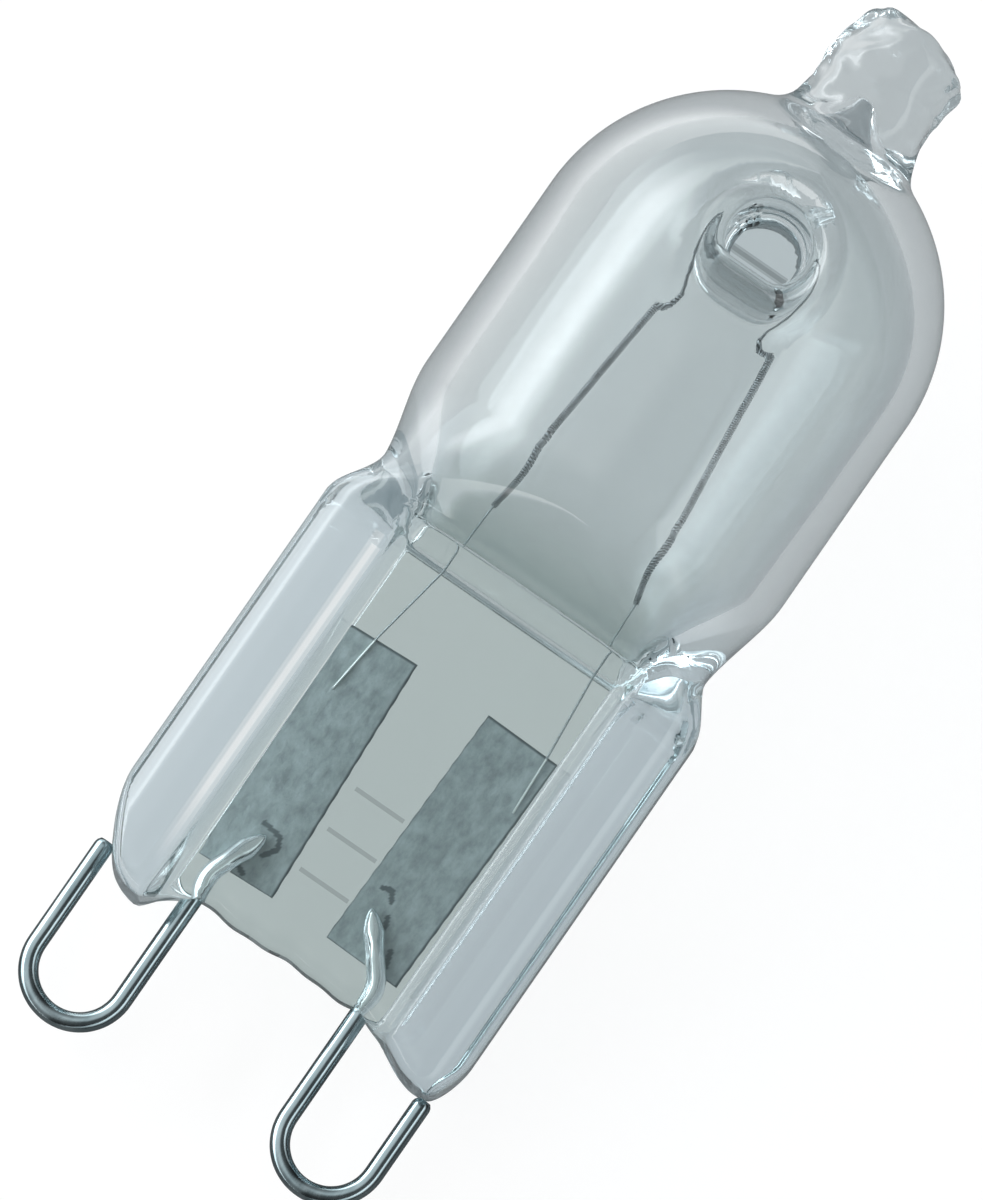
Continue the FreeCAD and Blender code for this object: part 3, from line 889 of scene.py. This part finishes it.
def makeFoilMetal(settings):
    material, tree, surface = newMaterial("sealingFoil")
    surface.inputs["Metallic"].default_value = settings["metallic"]
    surface.inputs["Roughness"].default_value = settings["roughness"]
    patch = addMottle(tree, settings)
    edge = tree.nodes.new("ShaderNodeAttribute")
    edge.attribute_name = "edge"
    colour = mixColours(tree, patch.outputs["Color"], settings["edgeDark"], edge.outputs["Fac"])
    tree.links.new(colour, surface.inputs["Base Color"])
    addBump(tree, patch.outputs["Height"], settings, surface)
    return material


def darkParts(settings, index, across, up, x, z):
    # the foil's rim and the dark strokes by the wires' ends
    inner, right, top, foot = settings["rims"]
    width = settings["width"]
    dark = (np.abs(across) > width * inner) | (across > width / 2 - right)
    dark = dark | (up > settings["length"] - top) | (up < foot)
    for firstX, firstZ, lastX, lastZ in settings["strokes"][index]:
        runX = lastX - firstX
        runZ = lastZ - firstZ
        along = np.clip(((x - firstX) * runX + (z - firstZ) * runZ) / math.hypot(runX, runZ) ** 2, 0.0, 1.0)
        away = np.hypot(x - blend(firstX, lastX, along), z - blend(firstZ, lastZ, along))
        dark = dark | (away < settings["strokeHalfWidth"])
    return dark.astype(np.float32)


def makeFoil(name, node, side, settings, material):
    index = 0 if side < 0 else 1
    width = settings["width"]
    acrossCount = int(width / settings["cell"])
    upCount = int(settings["length"] / settings["cell"])
    across, up = np.meshgrid(np.linspace(-0.5, 0.5, acrossCount + 1) * width,
                             np.linspace(0.0, settings["length"], upCount + 1))
    crinkle = settings["crinkle"] * lumps(across * 1.4 + side, up * 0.2, up * 1.1, settings["crinklePitch"])
    ragged = np.sin(up * settings["raggedPitch"] + side) * (np.abs(across) > width * settings["rims"][0])
    angle = math.radians(settings["splay"][index]) * side
    wide = across + settings["ragged"] * ragged
    depth = settings["front"] + settings["thickness"] / 2 + crinkle
    x = wide * math.cos(angle) + up * math.sin(angle) + side * settings["offset"][index]
    z = up * math.cos(angle) - wide * math.sin(angle) + settings["foot"]
    points = np.stack([x, depth, z], axis=-1).reshape(-1, 3)
    row = acrossCount + 1
    faces = []
    for high in range(upCount):
        for column in range(acrossCount):
            first = high * row + column
            faces.append((first, first + 1, first + row + 1, first + row))
    mesh = joinedMesh(name, [(points, faces)])
    edge = mesh.attributes.new("edge", "FLOAT", "POINT")
    edge.data.foreach_set("value", darkParts(settings, index, across, up, x, z).ravel())
    piece = addObject(name, mesh, material, [node])
    wall = piece.modifiers.new("wall", "SOLIDIFY")
    wall.thickness = settings["thickness"] * millimetre
    wall.offset = 0.0


molybdenum = makeFoilMetal(foilMetal)
makeFoil("foilLeft", "foil_left", -1, foil, molybdenum)
makeFoil("foilRight", "foil_right", 1, foil, molybdenum)
print("foils made")


# Filament: fine turns that follow the limbs and the turn over the bridge
filament = {
    "coilRadius": 0.095,
    "wire": 0.03,
    "turnsPerMillimetre": 14.0,
    "pointsPerTurn": 12,
    "wireSides": 6,
    "tail": 0.035,
    "plane": 0.22,
    "foot": (2.47, 3.04),
    "footHeight": 15.2,
    "bend": (2.33, 2.6),             # the limbs bow a little near their feet
    "bendHeight": 17.2,
    "kink": (1.79, 2.06),
    "kinkHeight": 22.6,
    "wrapHeight": 23.55,
    "wrapOffset": 0.1,
    "wrapRadius": 1.78,
    "corner": 0.7,
    "tailTurn": 12.4,
    "tailFoil": (2.97, 3.3),
    "tailEnd": (3.2, 3.4),
    "foilTop": 9.58,
    "tailOnFoil": 2.0,
    "tailInCoil": 0.3,
    "tailSides": 8,
    "pace": 0.1,
    "tailPace": 0.15,
    "archSteps": 30,
}
filamentMetal = {
    "dark": (0.25, 0.27, 0.275),
    "light": (0.48, 0.50, 0.51),
    "tail": (0.42, 0.45, 0.46),
    "tailTop": 15.2,
    "flattened": (0.88, 0.91, 0.89), # where the tail is pressed on its foil
    "flattenedTop": 9.5,
    "scale": 1500.0,
    "stretch": (1.0, 1.0, 1.0),
    "metallic": 0.8,
    "roughness": 0.45,
}


def makeCoilTree(sides):
    tree = bpy.data.node_groups.new("coilAlongPath", "GeometryNodeTree")
    for name, way, kind in (
        ("Geometry", "INPUT", "Geometry"), ("Turns", "INPUT", "Int"), ("Points Per Turn", "INPUT", "Int"),
        ("Coil Radius", "INPUT", "Float"), ("Wire Radius", "INPUT", "Float"),
        ("Material", "INPUT", "Material"), ("Geometry", "OUTPUT", "Geometry"),
    ):
        tree.interface.new_socket(name, in_out=way, socket_type="NodeSocket" + kind)
    nodes = tree.nodes
    start = nodes.new("NodeGroupInput")
    end = nodes.new("NodeGroupOutput")
    even = nodes.new("GeometryNodeResampleCurve")
    upright = nodes.new("GeometryNodeSetCurveNormal")
    index = nodes.new("GeometryNodeInputIndex")
    normal = nodes.new("GeometryNodeInputNormal")
    tangent = nodes.new("GeometryNodeInputTangent")
    turned = nodes.new("ShaderNodeVectorRotate")
    offset = nodes.new("ShaderNodeVectorMath")
    offset.operation = "SCALE"
    wind = nodes.new("GeometryNodeSetPosition")
    ring = nodes.new("GeometryNodeCurvePrimitiveCircle")
    ring.inputs["Resolution"].default_value = sides
    skin = nodes.new("GeometryNodeCurveToMesh")
    skin.inputs["Fill Caps"].default_value = True
    real = nodes.new("GeometryNodeRealizeInstances")
    paint = nodes.new("GeometryNodeSetMaterial")
    count = calc(tree, "MULTIPLY", start.outputs["Turns"], start.outputs["Points Per Turn"])
    turns = calc(tree, "DIVIDE", index.outputs["Index"], start.outputs["Points Per Turn"])
    for source, socket in (
        (start.outputs["Geometry"], even.inputs["Curve"]),
        (count, even.inputs["Count"]),
        (even.outputs["Curve"], upright.inputs["Curve"]),
        (normal.outputs["Normal"], turned.inputs["Vector"]),
        (tangent.outputs["Tangent"], turned.inputs["Axis"]),
        (calc(tree, "MULTIPLY", turns, 2 * math.pi), turned.inputs["Angle"]),
        (turned.outputs["Vector"], offset.inputs[0]),
        (start.outputs["Coil Radius"], offset.inputs["Scale"]),
        (upright.outputs["Curve"], wind.inputs["Geometry"]),
        (offset.outputs["Vector"], wind.inputs["Offset"]),
        (wind.outputs["Geometry"], skin.inputs["Curve"]),
        (start.outputs["Wire Radius"], ring.inputs["Radius"]),
        (ring.outputs["Curve"], skin.inputs["Profile Curve"]),
        (skin.outputs["Mesh"], real.inputs["Geometry"]),
        (real.outputs["Geometry"], paint.inputs["Geometry"]),
        (start.outputs["Material"], paint.inputs["Material"]),
        (paint.outputs["Geometry"], end.inputs["Geometry"]),
    ):
        tree.links.new(source, socket)
    return tree


def coilMesh(path, settings, material):
    curve = bpy.data.curves.new("coilPath", "CURVE")
    curve.dimensions = "3D"
    spline = curve.splines.new("POLY")
    spline.points.add(len(path) - 1)
    for point, place in zip(spline.points, toFrame(path)):
        point.co = (*place, 1.0)
    carrier = bpy.data.objects.new("coilPath", curve)
    bpy.context.scene.collection.objects.link(carrier)
    tree = makeCoilTree(settings["wireSides"])
    length = np.linalg.norm(np.diff(path, axis=0), axis=1).sum()
    values = {
        "Turns": int(length * settings["turnsPerMillimetre"]),
        "Points Per Turn": settings["pointsPerTurn"],
        "Coil Radius": settings["coilRadius"] * millimetre,
        "Wire Radius": settings["wire"] * millimetre,
        "Material": material,
    }
    winder = carrier.modifiers.new("wind", "NODES")
    winder.node_group = tree
    for item in tree.interface.items_tree:
        if item.in_out == "INPUT" and item.name in values:
            winder[item.identifier] = values[item.name]
    bpy.context.view_layer.update()
    ready = carrier.evaluated_get(bpy.context.evaluated_depsgraph_get())
    mesh = bpy.data.meshes.new_from_object(ready)
    bpy.data.objects.remove(carrier)
    return mesh


def makeFilamentMetal(settings):
    material, tree, surface = newMaterial("tungsten")
    surface.inputs["Metallic"].default_value = settings["metallic"]
    surface.inputs["Roughness"].default_value = settings["roughness"]
    patch = addMottle(tree, settings)
    colour = patch.outputs["Color"]
    up = alongLamp(tree, lampUp)
    for tint, top in (("tail", "tailTop"), ("flattened", "flattenedTop")):
        colour = mixColours(tree, colour, settings[tint], calc(tree, "LESS_THAN", up, settings[top]))
    tree.links.new(colour, surface.inputs["Base Color"])
    return material


def makeFilament(settings, material):
    centreX = glass["bridgeOffset"] + settings["wrapOffset"]
    radius = settings["wrapRadius"]
    plane = settings["plane"]
    corner = settings["corner"]
    limbs = []
    tails = []
    for index, side in enumerate((-1, 1)):
        footX = side * settings["foot"][index]
        wrapX = centreX + side * radius
        limbs.append(roundPath([
            (footX, plane, settings["footHeight"]),
            (side * settings["bend"][index], plane, settings["bendHeight"]),
            (side * settings["kink"][index], plane, settings["kinkHeight"]),
            (wrapX, plane, settings["wrapHeight"]),
            (wrapX, plane, glass["bridgeHeight"]),
        ], [corner] * 3, settings["pace"]))
        tail = roundPath([
            (footX, plane, settings["footHeight"] + settings["tailInCoil"]),
            (footX, plane, settings["tailTurn"]),
            (side * settings["tailFoil"][index], plane, settings["foilTop"]),
            (side * settings["tailEnd"][index], plane, settings["foilTop"] - settings["tailOnFoil"]),
        ], [corner] * 2, settings["tailPace"])
        radii = np.full(len(tail), settings["tail"])
        tails.append(sweepWire(tail, radii, radii, settings["tailSides"]))
    angles = [math.pi * (1 - step / settings["archSteps"]) for step in range(1, settings["archSteps"])]
    turn = [(centreX + radius * math.cos(angle), plane, glass["bridgeHeight"] + radius * math.sin(angle))
            for angle in angles]
    path = np.concatenate([limbs[0], np.array(turn), limbs[1][::-1]])
    joined = bpy.data.objects.new("filamentWire", coilMesh(path, settings, material))
    tailMesh = joinedMesh("tails", tails)
    tailMesh.materials.append(material)
    extra = bpy.data.objects.new("tails", tailMesh)
    for piece in (joined, extra):
        bpy.context.scene.collection.objects.link(piece)
    with bpy.context.temp_override(active_object=joined, selected_editable_objects=[joined, extra]):
        bpy.ops.object.join()
    joined.data.shade_smooth()
    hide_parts("filament")
    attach(joined, "root")
    print("filament faces", len(joined.data.polygons))


makeFilament(filament, makeFilamentMetal(filamentMetal))
print("filament made")


# Studio: pale floor under a soft surrounding light, brightest at the lamp's left
studio = {
    "floorSize": 3.0,
    "floorColour": (0.17, 0.17, 0.17, 1.0),
    "floorGlow": 0.86,
    "glossyGlow": (3.6, 0.03),       # share of the glow in reflections, at the lamp's left and right
    "glossyReach": (-0.032, -0.012),
    "throughGlass": 0.75,            # least light that is seen through the glass
    "deepest": 2.5,                  # or after that many reflections inside it
    "light": (0.94, 0.98, 1.0, 1.0),
    # degrees round the lamp's axis from straight in front, and the light's radiance there
    "round": (
        (-180, 1.0), (-112, 5.0), (-86, 4.7), (-75, 5.4), (-68, 8.8), (-62, 8.2), (-57, 3.4), (-48, 1.4),
        (-38, 1.2), (-20, 1.1), (-8, 1.0), (4, 0.15), (38, 0.1), (41, 2.2), (52, 2.1), (58, 1.1), (66, 0.15),
        (80, 0.1), (180, 0.1),
    ),
    "reach": (0.25, 0.8),            # the light fades over these shares of the lamp's axis in a direction
    "endShare": 0.3,
}


def isDeep(settings, tree, path):
    return calc(tree, "GREATER_THAN", path.outputs["Glossy Depth"], settings["deepest"])


def makeFloor(settings):
    half = settings["floorSize"] / 2
    low = min(cadBox[0][2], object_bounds()[0][2])
    mesh = bpy.data.meshes.new("floor")
    corners = [(-half, -half, low), (half, -half, low), (half, half, low), (-half, half, low)]
    mesh.from_pydata(corners, [], [(0, 1, 2, 3)])
    material, tree, surface = newMaterial("floor")
    surface.inputs["Base Color"].default_value = settings["floorColour"]
    surface.inputs["Roughness"].default_value = 1.0
    surface.inputs["Specular IOR Level"].default_value = 0.0
    glow = tree.nodes.new("ShaderNodeEmission")
    path = tree.nodes.new("ShaderNodeLightPath")
    add = tree.nodes.new("ShaderNodeAddShader")
    # reflections find the floor bright at the lamp's left and dull at its right
    toRight = mapRange(tree, alongLamp(tree, lampSide, 1.0), settings["glossyReach"], settings["glossyGlow"])
    deep = product(tree, isDeep(settings, tree, path), settings["throughGlass"])
    seen = calc(tree, "ADD", path.outputs["Is Camera Ray"], path.outputs["Is Transmission Ray"])
    seen = calc(tree, "MINIMUM", seen, 1.0)
    mirrored = product(
        tree,
        path.outputs["Is Glossy Ray"],
        calc(tree, "MAXIMUM", toRight, deep),
        calc(tree, "SUBTRACT", 1.0, seen),
    )
    shown = calc(tree, "ADD", seen, mirrored)
    tree.links.new(product(tree, shown, settings["floorGlow"]), glow.inputs["Strength"])
    tree.links.new(surface.outputs["BSDF"], add.inputs[0])
    tree.links.new(glow.outputs["Emission"], add.inputs[1])
    tree.links.new(add.outputs["Shader"], tree.nodes["Material Output"].inputs["Surface"])
    mesh.materials.append(material)
    floor = bpy.data.objects.new("floor", mesh)
    bpy.context.scene.collection.objects.link(floor)
    floor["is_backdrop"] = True


def makeWorld(settings):
    world = bpy.data.worlds.new("studio")
    world.use_nodes = True
    tree = world.node_tree
    background = tree.nodes["Background"]
    background.inputs["Color"].default_value = settings["light"]
    place = tree.nodes.new("ShaderNodeTexCoord").outputs["Generated"]
    right, front, up = (dotProduct(tree, place, direction) for direction in (lampSide, -lampBack, lampUp))
    turn = calc(tree, "DIVIDE", calc(tree, "ARCTAN2", right, front), 2 * math.pi)
    ramp = tree.nodes.new("ShaderNodeValToRGB")
    peak = max(radiance for degrees, radiance in settings["round"])
    stops = ramp.color_ramp.elements
    while len(stops) < len(settings["round"]):
        stops.new(0.5)
    for stop, (degrees, radiance) in zip(stops, settings["round"]):
        stop.position = degrees / 360.0 + 0.5
        stop.color = (radiance / peak,) * 3 + (1.0,)
    tree.links.new(calc(tree, "ADD", turn, 0.5), ramp.inputs["Fac"])
    fade = mapRange(tree, calc(tree, "ABSOLUTE", up), settings["reach"], (peak, peak * settings["endShare"]))
    strength = calc(tree, "MULTIPLY", ramp.outputs["Color"], fade)
    path = tree.nodes.new("ShaderNodeLightPath")
    through = calc(tree, "MAXIMUM", path.outputs["Is Transmission Ray"], isDeep(settings, tree, path))
    through = calc(tree, "MULTIPLY", through, settings["throughGlass"])
    tree.links.new(calc(tree, "MAXIMUM", strength, through), background.inputs["Strength"])
    bpy.context.scene.world = world


makeFloor(studio)
makeWorld(studio)
bpy.context.scene.view_settings.view_transform = "Standard"
print("studio set")
